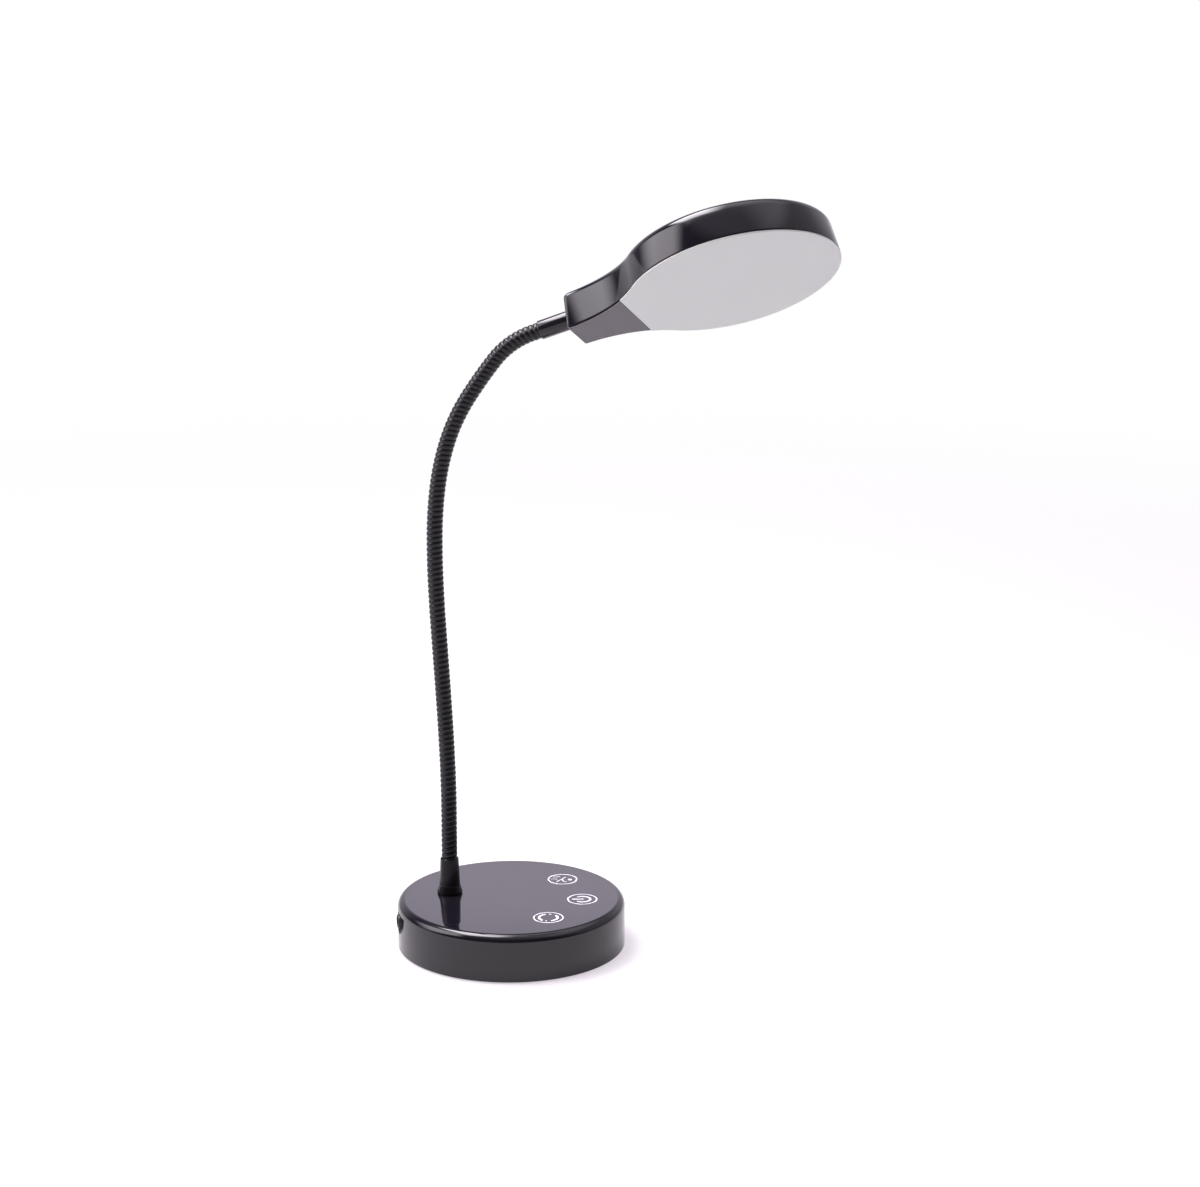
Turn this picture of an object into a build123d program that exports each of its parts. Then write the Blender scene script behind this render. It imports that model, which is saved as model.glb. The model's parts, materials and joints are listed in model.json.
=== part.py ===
from build123d import *
import os
from math import acos, asin, atan2, cos, degrees, hypot, radians, sin, sqrt, tan

# Gooseneck LED desk lamp. Millimetres, +Z up, +X from the neck towards the lamp head.
# The origin is on the table, at the centre of the round base.

# ---------------------------------------------------------------- driving dimensions
# Base
base_r = 63.5            # outer radius of the base
rim_z = 0.8              # the cover's rim stands this far above the table, on the pad
base_top_z = 27.5        # top face of the base
base_edge_r = 4.5        # rounding of the top edge
base_wall = 2.2          # wall of the moulded cover
plate_t = 2.6            # bottom plate
plate_gap = 0.2          # all round, between the plate and the cover's wall
pad_t = 1.2              # anti-slip pad, a little of it sunk into the plate
pad_r = base_r - 6.5
ballast_t = 7.0          # cast iron weight that keeps the lamp upright
ballast_r = base_r - 14.0
ballast_gap = 1.0        # round what passes through the ballast
ballast_edge = 0.8       # bevel of its top edge
round_sides = 12         # flats of small posts, screws and screw holes

# Cover screws, driven upwards through the plate into posts of the cover
cover_screw_angles = (30, 150, 270)
cover_post_at = base_r - 9.0     # distance of the posts from the middle
cover_post_r = 3.4
web_t = 1.5              # web from each post to the wall
screw_r = 1.5            # all self-tapping screws are M3
screw_head_r = 2.8
screw_head_t = 1.4
screw_len = 8.0
screw_hole_gap = 0.15

# Ballast screws, driven downwards through the ballast into the plate
ballast_screw_angles = (90, 210, 330)
ballast_screw_at = 38.0
ballast_screw_grip = 1.8     # depth of their holes in the plate

# Touch electronics under the top face
key_ring_r = 40.0        # the three touch keys lie on this circle
key_angle = 51.4         # between one key and the next
key_turn = 4.4           # the middle key is this far round from the neck's plane
board_t = 1.6
board_inner_r = 27.0
board_outer_r = 50.0
board_half_angle = 66.0
board_drop = 5.6         # from the cover's ceiling down to the board
electrode_r = 4.0        # conductive foam columns, from the board to the cover
board_post_r = 2.9
board_screw_len = 5.0

# Supply inlet, in a scoop of the rear wall
inlet_angle = -157.0     # direction of the inlet, seen from above
inlet_z = 17.6
scoop_r = 12.0           # mouth of the half-round scoop
scoop_floor_r = 7.0
scoop_depth = 4.5
scoop_top_z = 22.2
pocket_floor_wall = 1.3  # wall of the pocket behind the scoop, at its floor
pocket_mouth_wall = 0.65     # and at its mouth
inlet_nose_r = 4.0
inlet_nose_out = 0.9     # the nose stands this far out of the wall's circle
inlet_bore_r = 3.2
inlet_bore_depth = 9.5
inlet_pin_r = 1.05
inlet_pin_back = 1.0     # from the nose's face to the pin's end
scoop_past = 0.5         # the scoop's cut goes on past the wall
inlet_body = (12.0, 9.5, 10.0)   # along the nose, across, and up

# Stem: where the neck stands in the base
stem_x = -35.2
stem_foot_r = 7.05
stem_waist_r = 5.75
stem_flare_h = 4.5
stem_top_r = 5.1
stem_h = 20.5
nipple_r = 4.0           # M8 x 1 threaded tube
nipple_below = 11.0      # length of it under the cover's top face
stem_pad_r = 13.0        # thickened seat under the top
stem_pad_t = 1.2
washer_r = 9.0
washer_t = 1.2
nut_flats = 13.0
nut_t = 4.0
hole_gap = 0.1           # radial clearance of threaded tubes in their holes

# Gooseneck: a flexible metal hose, divided into short links
hose_crest_r = 4.5
hose_valley_r = 4.1
hose_sides = 10          # flats round each ridge
ridges_per_link = 9
root_ridges = 3          # ridges of the hose's first, fixed piece
link_len = 26.5          # arc length of each link, from hinge to hinge
link_bends = (0.0, -2.0, -1.0, -0.5, 0.0, 1.5, 3.0, 6.5, 10.5, 14.0, 5.5, 31.5)
hinge_above_stem = 1.0   # the first hinge, above the stem sleeve
lip_h = 1.7              # each link ends this far past its upper hinge
spigot_r = 2.0           # core of each link that stands in a cup of the one below
spigot_low = 1.0         # depth of the spigot past its hinge
swing_gap = 0.15         # left between two links when they are fully bent

# Head sleeve, between the hose and the head
sleeve_r = 5.2
sleeve_out = 18.6        # length in view
sleeve_in = 3.2          # length inside the head
hose_in_sleeve = 4.9
sleeve_edge = 0.4        # bevel of its hose end
tip_r = 4.0              # M8 threaded tube that carries the head
tip_past_nut = 1.6
grub_at = 7.0            # set screw, from the sleeve's hose end
grub_r = 1.3
grub_clear = 0.15        # the set screw ends this far under the sleeve's surface
grub_socket_depth = 0.8
grub_socket_r = 0.65
grub_drop = 24.0         # degrees below the horizontal, towards -Y
swivel_gap = 0.1         # radial running fit of the tube in the head

# Head: a flat paddle, a disc with a tab
disc_r = 58.0
tab_half = 13.7
flare_r = 57.0           # arcs that blend the tab into the disc
head_t = 21.6
head_axis_h = 10.7       # the neck's axis, above the light's face
head_twist = -30.0       # the head as it is turned about the neck's axis
head_draft = 4.0
head_top_r = 5.5
head_wall = 2.0
face_lip = 1.0           # the light's face stands this far out of the housing
lip_round = 0.4          # bevel of that face's edge
seam_x = -56.0           # parting line between the diffuser and the tab's cover
seam_gap = 0.3
cover_inset = 0.8        # the tab's cover, inside the housing's outline
spigot_gap = 0.2         # between a spigot and the housing's wall
spigot_h = 1.4
spigot_wall = 1.6

# Light inside the head
board_h = 13.5           # underside of the LED board above the light's face
led_board_r = 46.0
led_board_t = 1.6
led_size = (3.5, 2.8, 0.8)
led_rings = ((36.0, 12), (23.0, 8), (9.0, 4))
reflector_t = 1.0
reflector_gap = 0.3
led_screw_at = 41.0
led_screw_angles = (60, 180, 300)
led_post_r = 3.0
led_screw_len = 4.5

# Clamp that holds the swivelling tube in the tab
clamp_end_gap = 0.2      # between the sleeve's inner end and the clamp
clamp_len = 8.0
clamp_half = 10.0
clamp_foot_h = 4.5
clamp_screw_y = 7.0
clamp_screw_grip = 5.0       # depth of its screws in the saddle
tip_washer_r = 6.2
tip_washer_t = 1.0
tip_nut_flats = 12.0
tip_nut_t = 3.5


# ---------------------------------------------------------------- derived levels of the base
plate_z = rim_z
plate_top_z = plate_z + plate_t
pad_seat_z = pad_t
ballast_top_z = plate_top_z + ballast_t
ceiling_z = base_top_z - base_wall
board_top_z = ceiling_z - board_drop
board_z = board_top_z - board_t
stem_seat_z = ceiling_z - stem_pad_t
nipple_end_z = base_top_z - nipple_below
inner_r = base_r - base_wall
cover_head_z = pad_seat_z        # screw heads lie just above the pad


def around(radius, angles):
    """Points at the given angles, in degrees, round a circle."""
    return [(radius * cos(radians(angle)), radius * sin(radians(angle))) for angle in angles]


key_places = around(key_ring_r, (key_turn - key_angle, key_turn, key_turn + key_angle))
board_post_places = around(key_ring_r, (key_turn - key_angle / 2, key_turn + key_angle / 2))
cover_screw_places = around(cover_post_at, cover_screw_angles)
ballast_screw_places = around(ballast_screw_at, ballast_screw_angles)
led_screw_places = around(led_screw_at, led_screw_angles)

# ---------------------------------------------------------------- the neck's centreline
pitch = link_len / ridges_per_link
link_count = len(link_bends)
hinge_z = base_top_z + stem_h + hinge_above_stem
skirt_h = lip_h + pitch / 2                                  # each link starts this far past its lower hinge
swing = acos((lip_h + swing_gap) / hypot(skirt_h, hose_crest_r)) - atan2(hose_crest_r, skirt_h)
cup_r = spigot_r / cos(swing) + lip_h * tan(swing) + swing_gap
cup_low = spigot_low * cos(swing) + spigot_r * sin(swing) + swing_gap


def hose_plane(along):
    """The plane across the hose at an arc length from the first ball: +Z runs along the hose."""
    x, z, heading = stem_x, hinge_z, 0.0
    left = along
    for bend in link_bends:
        run = min(left, link_len) if left > 0 else 0.0
        turn = radians(bend) * run / link_len
        chord = run * sin(turn / 2) / (turn / 2) if turn else run
        x += chord * sin(heading + turn / 2)
        z += chord * cos(heading + turn / 2)
        heading += turn
        left -= run
    straight = along if along < 0 else left
    x += straight * sin(heading)
    z += straight * cos(heading)
    ahead = (sin(heading), 0, cos(heading))
    return Plane(origin=(x, 0, z), x_dir=(ahead[2], 0, -ahead[0]), z_dir=ahead)


def lengthwise(plane):
    """The plane that holds the given plane's normal as its own Y, for profiles to revolve."""
    return Plane(origin=plane.origin, x_dir=plane.x_dir, z_dir=plane.y_dir * -1)


hinge_planes = [hose_plane(link_len * i) for i in range(link_count + 1)]

# ---------------------------------------------------------------- the head's frame
neck_end = hinge_planes[-1]
head_axis = neck_end.z_dir
hose_out = skirt_h + pitch / 2                             # hose past the last hinge, up to the sleeve
sleeve_start = neck_end.offset(hose_out)
tab_end_plane = sleeve_start.offset(sleeve_out)
flare_y = tab_half + flare_r
flare_x = -sqrt((disc_r + flare_r) ** 2 - flare_y ** 2)    # the tab ends where its sides run parallel
blend_angle = degrees(atan2(flare_y, flare_x))             # where the disc's rim meets a flare arc
tab_end_x = flare_x
head_up = (neck_end.x_dir * -1).rotate(Axis((0, 0, 0), head_axis), head_twist)
disc_centre = tab_end_plane.origin - head_axis * tab_end_x - head_up * head_axis_h


def head_level(height):
    """The plane at a height above the light's face: +X towards the head's tip, +Z to its back."""
    return Plane(origin=disc_centre + head_up * height, x_dir=head_axis, z_dir=head_up)


head_inner_top = head_t - head_wall
clamp_x = tab_end_x + sleeve_in + clamp_end_gap
nut_x = clamp_x + clamp_len
tip_end_x = nut_x + tip_washer_t + tip_nut_t + tip_past_nut


def head_cross(x):
    """The plane across the head at a station along it, centred on the neck's axis."""
    middle = disc_centre + head_axis * x + head_up * head_axis_h
    return Plane(origin=middle, x_dir=head_level(0).y_dir, z_dir=head_axis)


# ---------------------------------------------------------------- shared shapes
def paddle(inset=0.0):
    """Outline of the head, drawn on the sketch in hand, moved inwards all round by the inset."""
    arc_r = flare_r + inset
    slip = asin(inset / arc_r)
    with BuildLine() as edge:
        CenterArc((0, 0), disc_r - inset, 0, blend_angle)
        CenterArc((flare_x, flare_y), arc_r, blend_angle - 180, 90 - blend_angle + degrees(slip))
        Line((tab_end_x + inset, flare_y - arc_r * cos(slip)), (tab_end_x + inset, 0))
        mirror(about=Plane.XZ)
    make_face(edge.edges())


def head_block(low, high, inset):
    """A solid of the head's outline between two heights, narrower upwards by the draft."""
    sections = []
    for height in (low, high):
        with BuildSketch(head_level(height)) as section:
            paddle(inset + (height - face_lip) * tan(radians(head_draft)))
        sections.append(section.sketch)
    loft(sections, ruled=True)


def keep_ahead(x):
    """Keeps the part of the sketch in hand that lies ahead of x."""
    with Locations((x + 2 * disc_r, 0)):
        Rectangle(4 * disc_r, 4 * disc_r, mode=Mode.INTERSECT)


def keep_behind(x):
    """Keeps the part of the sketch in hand that lies behind x."""
    with Locations((x - 2 * disc_r, 0)):
        Rectangle(4 * disc_r, 4 * disc_r, mode=Mode.INTERSECT)


def hose(first, last):
    """Ridged hose between two arc lengths, added to the part in hand. Its upper end is a valley."""
    sections = []
    for step in range(round((last - first) / (pitch / 2)) + 1):
        radius = hose_crest_r if step % 2 else hose_valley_r
        with BuildSketch(hose_plane(last - step * pitch / 2)) as section:
            RegularPolygon(radius, hose_sides)
        sections.append(section.sketch)
    loft(sections, ruled=True)


def spigot(plane):
    """The core that stands in the cup of the link below a hinge."""
    with BuildSketch(plane.offset(-spigot_low)) as core:
        RegularPolygon(spigot_r, hose_sides)
    extrude(core.sketch, amount=spigot_low + skirt_h)


def cup(plane):
    """The cup above a hinge that leaves the next link room to swing."""
    with BuildSketch(plane.offset(-cup_low)) as hollow:
        RegularPolygon(cup_r, hose_sides, major_radius=False)
    extrude(hollow.sketch, amount=cup_low + 2 * lip_h, mode=Mode.SUBTRACT)


def bars(plane, places, radius, height, mode=Mode.ADD):
    """Small round bars, or holes, that rise from a plane at the given places."""
    with BuildSketch(plane) as spots:
        with Locations(*places):
            RegularPolygon(radius, round_sides)
    extrude(spots.sketch, amount=height, mode=mode)


def pan_screws(plane, places, length):
    """Pan head screws: each head rises from the plane, and the shank goes on from it."""
    bars(plane, places, screw_head_r, screw_head_t)
    bars(plane, places, screw_r, screw_head_t + length)


def export(piece, name):
    piece.part.label = name
    export_step(piece.part, f"parts/{name}.step")


os.makedirs("parts", exist_ok=True)
UP = (Align.CENTER, Align.CENTER, Align.MIN)
DOWN = (Align.CENTER, Align.CENTER, Align.MAX)

# ================================================================ base
inlet_out = Vector(cos(radians(inlet_angle)), sin(radians(inlet_angle)), 0)


def inlet_plane(distance, z=inlet_z):
    """The upright plane across the inlet's axis at a distance from the base's middle, facing out."""
    across = Vector(0, 0, 1).cross(inlet_out)
    return Plane(origin=inlet_out * distance + Vector(0, 0, z), x_dir=across, z_dir=inlet_out)


def half_round(radius):
    """Half a disc under the current sketch's X axis."""
    Circle(radius)
    with Locations((0, radius)):
        Rectangle(4 * radius, 2 * radius, mode=Mode.SUBTRACT)


scoop_inner = base_r - scoop_depth

with BuildPart() as base_cover:
    with BuildSketch(Plane.XZ):
        with BuildLine():
            edge_z = base_top_z - base_edge_r
            inner_corner = base_edge_r - base_wall
            Line((0, base_top_z), (base_r - base_edge_r, base_top_z))
            TangentArc((base_r - base_edge_r, base_top_z), (base_r, edge_z), tangent=(1, 0))
            Polyline((base_r, edge_z), (base_r, rim_z), (inner_r, rim_z), (inner_r, ceiling_z - inner_corner),
                     (inner_r - inner_corner, ceiling_z), (0, ceiling_z), (0, base_top_z))
        make_face()
    revolve(axis=Axis.Z)
    # posts for the cover screws, each with a web to the wall, and posts for the touch board
    with BuildSketch(Plane.XY.offset(plate_top_z)):
        web_end = inner_r + base_wall / 2
        with PolarLocations((cover_post_at + web_end) / 2, len(cover_screw_angles), cover_screw_angles[0]):
            Rectangle(web_end - cover_post_at, web_t)
    extrude(amount=ceiling_z - plate_top_z)
    bars(Plane.XY.offset(plate_top_z), cover_screw_places, cover_post_r, ceiling_z - plate_top_z)
    bars(Plane.XY.offset(board_top_z), board_post_places, board_post_r, board_drop)
    # thick seat for the stem's washer
    with BuildSketch(Plane.XY.offset(stem_seat_z)):
        with Locations((stem_x, 0)):
            Circle(stem_pad_r)
    extrude(amount=stem_pad_t)
    # pocket behind the scoop, then the scoop itself
    with BuildSketch(inlet_plane(scoop_inner - base_wall, scoop_top_z)):
        half_round(scoop_floor_r + pocket_floor_wall)
    with BuildSketch(inlet_plane(base_r - base_wall / 2, scoop_top_z)):
        half_round(scoop_r + pocket_mouth_wall)
    loft()
    with BuildSketch(inlet_plane(scoop_inner, scoop_top_z)):
        half_round(scoop_floor_r)
    with BuildSketch(inlet_plane(base_r + scoop_past, scoop_top_z)):
        half_round(scoop_r + (scoop_r - scoop_floor_r) * scoop_past / scoop_depth)
    loft(mode=Mode.SUBTRACT)
    # holes
    with Locations(inlet_plane(scoop_inner)):
        Cylinder(inlet_nose_r + hole_gap, 4 * base_wall, mode=Mode.SUBTRACT)
    with Locations((stem_x, 0, base_top_z)):
        Cylinder(nipple_r + hole_gap, 4 * base_wall, mode=Mode.SUBTRACT)
    bars(Plane.XY.offset(plate_top_z), cover_screw_places, screw_r, screw_len, Mode.SUBTRACT)
    bars(Plane.XY.offset(board_top_z), board_post_places, screw_r, board_screw_len, Mode.SUBTRACT)
export(base_cover, "base_cover")

with BuildPart() as base_plate:
    with BuildSketch(Plane.XY.offset(plate_z)):
        Circle(inner_r - plate_gap)
    extrude(amount=plate_t)
    with BuildSketch(Plane.XY.offset(plate_z)):
        Circle(pad_r + plate_gap)
    extrude(amount=pad_seat_z - plate_z, mode=Mode.SUBTRACT)
    bars(Plane.XY.offset(plate_top_z - ballast_screw_grip), ballast_screw_places, screw_r, ballast_screw_grip,
         Mode.SUBTRACT)
    bars(Plane.XY.offset(cover_head_z), cover_screw_places, screw_r + screw_hole_gap, plate_t, Mode.SUBTRACT)
    bars(Plane.XY.offset(cover_head_z), cover_screw_places, screw_head_r + screw_hole_gap, screw_head_t,
         Mode.SUBTRACT)
export(base_plate, "base_plate")

with BuildPart() as anti_slip_pad:
    with BuildSketch(Plane.XY):
        Circle(pad_r)
    extrude(amount=pad_t)
export(anti_slip_pad, "anti_slip_pad")

with BuildPart() as ballast_weight:
    with BuildSketch(Plane.XY.offset(plate_top_z)):
        Circle(ballast_r)
        with Locations((stem_x, 0)):
            Circle(nut_flats / sqrt(3) + ballast_gap, mode=Mode.SUBTRACT)
    extrude(amount=ballast_t)
    bars(Plane.XY.offset(plate_top_z), ballast_screw_places, screw_r + screw_hole_gap, ballast_t,
         Mode.SUBTRACT)
    chamfer(ballast_weight.faces().sort_by(Axis.Z)[-1].outer_wire().edges(), ballast_edge)
export(ballast_weight, "ballast_weight")

with BuildPart() as cover_screws:
    pan_screws(Plane.XY.offset(cover_head_z), cover_screw_places, screw_len)
export(cover_screws, "cover_screws")

ballast_head_plane = Plane(origin=(0, 0, ballast_top_z + screw_head_t), x_dir=(1, 0, 0), z_dir=(0, 0, -1))

with BuildPart() as ballast_screws:
    pan_screws(ballast_head_plane, [(x, -y) for x, y in ballast_screw_places],
               ballast_t + ballast_screw_grip - screw_hole_gap)
export(ballast_screws, "ballast_screws")

with BuildPart() as touch_board:
    with BuildSketch(Plane.XY.offset(board_z)):
        Circle(board_outer_r)
        Circle(board_inner_r, mode=Mode.SUBTRACT)
        with BuildLine():
            reach = 2 * board_outer_r
            board_turns = (key_turn - board_half_angle, key_turn, key_turn + board_half_angle)
            Polyline((0, 0), *around(reach, board_turns), close=True)
        make_face(mode=Mode.INTERSECT)
    extrude(amount=board_t)
    bars(Plane.XY.offset(board_z), board_post_places, screw_r + screw_hole_gap, board_t, Mode.SUBTRACT)
export(touch_board, "touch_board")

with BuildPart() as board_screws:
    pan_screws(Plane.XY.offset(board_z - screw_head_t), board_post_places, board_t + board_screw_len)
export(board_screws, "board_screws")

with BuildPart() as touch_electrodes:
    bars(Plane.XY.offset(board_top_z), key_places, electrode_r, board_drop)
export(touch_electrodes, "touch_electrodes")

nose_len = base_r + inlet_nose_out - (scoop_inner - base_wall)
with BuildPart() as dc_inlet:
    with BuildSketch(inlet_plane(scoop_inner - base_wall)):
        Rectangle(inlet_body[1], inlet_body[2])
    extrude(amount=-inlet_body[0])
    with BuildSketch(inlet_plane(scoop_inner - base_wall)):
        Circle(inlet_nose_r)
    extrude(amount=nose_len)
    with Locations(inlet_plane(base_r + inlet_nose_out)):
        Cylinder(inlet_bore_r, inlet_bore_depth, align=DOWN, mode=Mode.SUBTRACT)
    with Locations(inlet_plane(base_r + inlet_nose_out - inlet_pin_back)):
        Cylinder(inlet_pin_r, inlet_bore_depth, align=DOWN)
export(dc_inlet, "dc_inlet")

# ---------------------------------------------------------------- stem
stem_axis = Axis((stem_x, 0, 0), (0, 0, 1))
hose_in_stem = root_ridges * pitch - hinge_above_stem - lip_h   # depth of the hose in the stem sleeve

with BuildPart() as stem_sleeve:
    with BuildSketch(Plane.XZ):
        with BuildLine():
            low = (stem_x + stem_foot_r, base_top_z)
            waist = (stem_x + stem_waist_r, base_top_z + stem_flare_h)
            top = (stem_x + stem_top_r, base_top_z + stem_h)
            bore_top = (stem_x + hose_crest_r + hole_gap, base_top_z + stem_h)
            bore_step = (stem_x + hose_crest_r + hole_gap, base_top_z + stem_h - hose_in_stem)
            tube_step = (stem_x + nipple_r + hole_gap, base_top_z + stem_h - hose_in_stem)
            tube_low = (stem_x + nipple_r + hole_gap, base_top_z)
            TangentArc(waist, low, tangent=(waist[0] - top[0], waist[1] - top[1]))
            Polyline(waist, top, bore_top, bore_step, tube_step, tube_low, low)
        make_face()
    revolve(axis=stem_axis)
export(stem_sleeve, "stem_sleeve")

with BuildPart() as neck_root:
    hose(lip_h - root_ridges * pitch, lip_h)
    cup(hinge_planes[0])
    with Locations((stem_x, 0, nipple_end_z)):
        Cylinder(nipple_r, base_top_z + stem_h - hose_in_stem - nipple_end_z, align=UP)
export(neck_root, "neck_root")

with BuildPart() as stem_washer:
    with Locations((stem_x, 0, stem_seat_z)):
        Cylinder(washer_r, washer_t, align=DOWN)
        Cylinder(nipple_r + hole_gap, washer_t, align=DOWN, mode=Mode.SUBTRACT)
export(stem_washer, "stem_washer")

with BuildPart() as stem_nut:
    with BuildSketch(Plane.XY.offset(stem_seat_z - washer_t)):
        with Locations((stem_x, 0)):
            RegularPolygon(nut_flats / 2, 6, major_radius=False)
            Circle(nipple_r + hole_gap, mode=Mode.SUBTRACT)
    extrude(amount=-nut_t)
export(stem_nut, "stem_nut")

# ---------------------------------------------------------------- gooseneck links
for number in range(link_count):
    start = number * link_len
    lower, upper = hinge_planes[number], hinge_planes[number + 1]
    with BuildPart() as link:
        hose(start + skirt_h, start + link_len + lip_h)
        spigot(lower)
        cup(upper)
    export(link, f"neck_link_{number + 1:02d}")

# ---------------------------------------------------------------- between the hose and the head
hose_end = link_count * link_len + hose_out
sleeve_len = sleeve_out + sleeve_in
tip_start = sleeve_start.offset(hose_in_sleeve)
tip_length = sleeve_out + (tip_end_x - tab_end_x) - hose_in_sleeve

with BuildPart() as neck_tip:
    hose(hose_end - pitch / 2, hose_end + pitch)
    spigot(neck_end)
    with Locations(sleeve_start):
        Cylinder(hose_valley_r, hose_in_sleeve, align=UP)
    with Locations(tip_start):
        Cylinder(tip_r, tip_length, align=UP)
export(neck_tip, "neck_tip")

grub_side = (neck_end.y_dir * -1).rotate(Axis((0, 0, 0), head_axis), grub_drop)
grub_plane = Plane(origin=sleeve_start.offset(grub_at).origin, x_dir=head_axis, z_dir=grub_side)

with BuildPart() as head_sleeve:
    with Locations(sleeve_start):
        Cylinder(sleeve_r, sleeve_len, align=UP)
    chamfer(head_sleeve.edges().filter_by(GeomType.CIRCLE).sort_by(Axis(sleeve_start.origin, head_axis))[0],
            sleeve_edge)
    with Locations(sleeve_start):
        Cylinder(hose_crest_r + hole_gap, hose_in_sleeve, align=UP, mode=Mode.SUBTRACT)
    with Locations(tip_start):
        Cylinder(tip_r + hole_gap, sleeve_len, align=UP, mode=Mode.SUBTRACT)
    with Locations(grub_plane):
        Cylinder(grub_r, 2 * sleeve_r, align=UP, mode=Mode.SUBTRACT)
export(head_sleeve, "head_sleeve")

with BuildPart() as grub_screw:
    with Locations(grub_plane.offset(sleeve_r - grub_clear)):
        Cylinder(grub_r, sleeve_r - grub_clear - tip_r, align=DOWN)
    with BuildSketch(grub_plane.offset(sleeve_r)):
        RegularPolygon(grub_socket_r, 6)
    extrude(amount=-grub_socket_depth, mode=Mode.SUBTRACT)
export(grub_screw, "grub_screw")

with BuildPart() as tip_washer:
    with Locations(head_cross(nut_x)):
        Cylinder(tip_washer_r, tip_washer_t, align=UP)
        Cylinder(tip_r + hole_gap, tip_washer_t, align=UP, mode=Mode.SUBTRACT)
export(tip_washer, "tip_washer")

with BuildPart() as tip_nut:
    with BuildSketch(head_cross(nut_x + tip_washer_t)):
        RegularPolygon(tip_nut_flats / 2, 6, major_radius=False)
        Circle(tip_r + hole_gap, mode=Mode.SUBTRACT)
    extrude(amount=tip_nut_t)
export(tip_nut, "tip_nut")

# ================================================================ head
head_dir = Axis(disc_centre, head_up)
clamp_middle = clamp_x + clamp_len / 2
clamp_screw_places = [(clamp_middle, clamp_screw_y), (clamp_middle, -clamp_screw_y)]
led_board_top = board_h + led_board_t

with BuildPart() as head_hollow:
    head_block(face_lip, head_inner_top, head_wall)
    chamfer(head_hollow.faces().sort_by(head_dir)[-1].edges(), head_top_r - head_wall)

with BuildPart() as head_housing:
    head_block(face_lip, head_t, 0)
    fillet(head_housing.faces().sort_by(head_dir)[-1].edges(), head_top_r)
    add(head_hollow.part, mode=Mode.SUBTRACT)
    # posts for the LED board, and the saddle for the swivelling tube
    post_len = head_inner_top - led_board_top + head_wall / 2
    bars(head_level(led_board_top), led_screw_places, led_post_r, post_len)
    with BuildSketch(head_level(head_axis_h)):
        with Locations((clamp_middle, 0)):
            Rectangle(clamp_len, 2 * clamp_half)
    extrude(amount=head_inner_top - head_axis_h + head_wall / 2)
    # holes
    with Locations(head_cross(tab_end_x)):
        Cylinder(sleeve_r + swivel_gap, 4 * head_wall, mode=Mode.SUBTRACT)
    with Locations(head_cross(clamp_middle)):
        Cylinder(tip_r + swivel_gap, 2 * clamp_len, mode=Mode.SUBTRACT)
    bars(head_level(led_board_top), led_screw_places, screw_r, led_screw_len, Mode.SUBTRACT)
    bars(head_level(head_axis_h), clamp_screw_places, screw_r, clamp_screw_grip, Mode.SUBTRACT)
export(head_housing, "head_housing")

inside = head_wall + spigot_gap
with BuildPart() as diffuser:
    with BuildSketch(head_level(0)):
        paddle()
        keep_ahead(seam_x + seam_gap / 2)
    extrude(amount=face_lip)
    chamfer(diffuser.faces().sort_by(head_dir)[0].edges(), lip_round)
    with BuildSketch(head_level(face_lip)):
        paddle(inside)
        keep_ahead(seam_x + seam_gap / 2)
    extrude(amount=spigot_h / 2)
    with BuildSketch(head_level(face_lip)):
        paddle(inside)
        keep_ahead(seam_x + seam_gap / 2)
        offset(amount=-spigot_wall, kind=Kind.INTERSECTION, mode=Mode.SUBTRACT)
    extrude(amount=spigot_h)
export(diffuser, "diffuser")

with BuildPart() as tab_cover:
    with BuildSketch(head_level(0)):
        paddle(cover_inset)
        keep_behind(seam_x - seam_gap / 2)
    extrude(amount=face_lip)
    with BuildSketch(head_level(face_lip)):
        paddle(inside)
        keep_behind(seam_x - seam_gap / 2)
        offset(amount=-spigot_wall, kind=Kind.INTERSECTION, mode=Mode.SUBTRACT)
    extrude(amount=spigot_h)
export(tab_cover, "tab_cover")

with BuildPart() as led_board:
    with BuildSketch(head_level(board_h)):
        Circle(led_board_r)
    extrude(amount=led_board_t)
    bars(head_level(board_h), led_screw_places, screw_r + screw_hole_gap, led_board_t, Mode.SUBTRACT)
export(led_board, "led_board")

with BuildPart() as led_chips:
    with BuildSketch(head_level(board_h)):
        for ring_r, count in led_rings:
            with PolarLocations(ring_r, count, start_angle=180 / count):
                Rectangle(led_size[0], led_size[1])
    extrude(amount=-led_size[2])
export(led_chips, "led_chips")

reflector_foot_h = face_lip + spigot_h / 2
reflector_foot_r = disc_r - inside - spigot_wall - reflector_gap
with BuildPart() as reflector:
    with BuildSketch(Plane(origin=disc_centre, x_dir=head_axis, z_dir=head_level(0).y_dir * -1)):
        with BuildLine():
            top_r = led_board_r + reflector_gap
            Polyline((top_r, board_h), (reflector_foot_r - reflector_t, reflector_foot_h),
                     (reflector_foot_r, reflector_foot_h), (top_r + reflector_t, board_h), close=True)
        make_face()
    revolve(axis=head_dir)
export(reflector, "reflector")

with BuildPart() as led_screws:
    pan_screws(head_level(board_h - screw_head_t), led_screw_places, led_board_t + led_screw_len)
export(led_screws, "led_screws")

with BuildPart() as tube_clamp:
    with BuildSketch(head_level(clamp_foot_h)):
        with Locations((clamp_middle, 0)):
            Rectangle(clamp_len, 2 * clamp_half)
    extrude(amount=head_axis_h - clamp_foot_h - hole_gap)
    with Locations(head_cross(clamp_middle)):
        Cylinder(tip_r + swivel_gap, 2 * clamp_len, mode=Mode.SUBTRACT)
    bars(head_level(clamp_foot_h), clamp_screw_places, screw_r + screw_hole_gap, head_axis_h, Mode.SUBTRACT)
export(tube_clamp, "tube_clamp")

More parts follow.
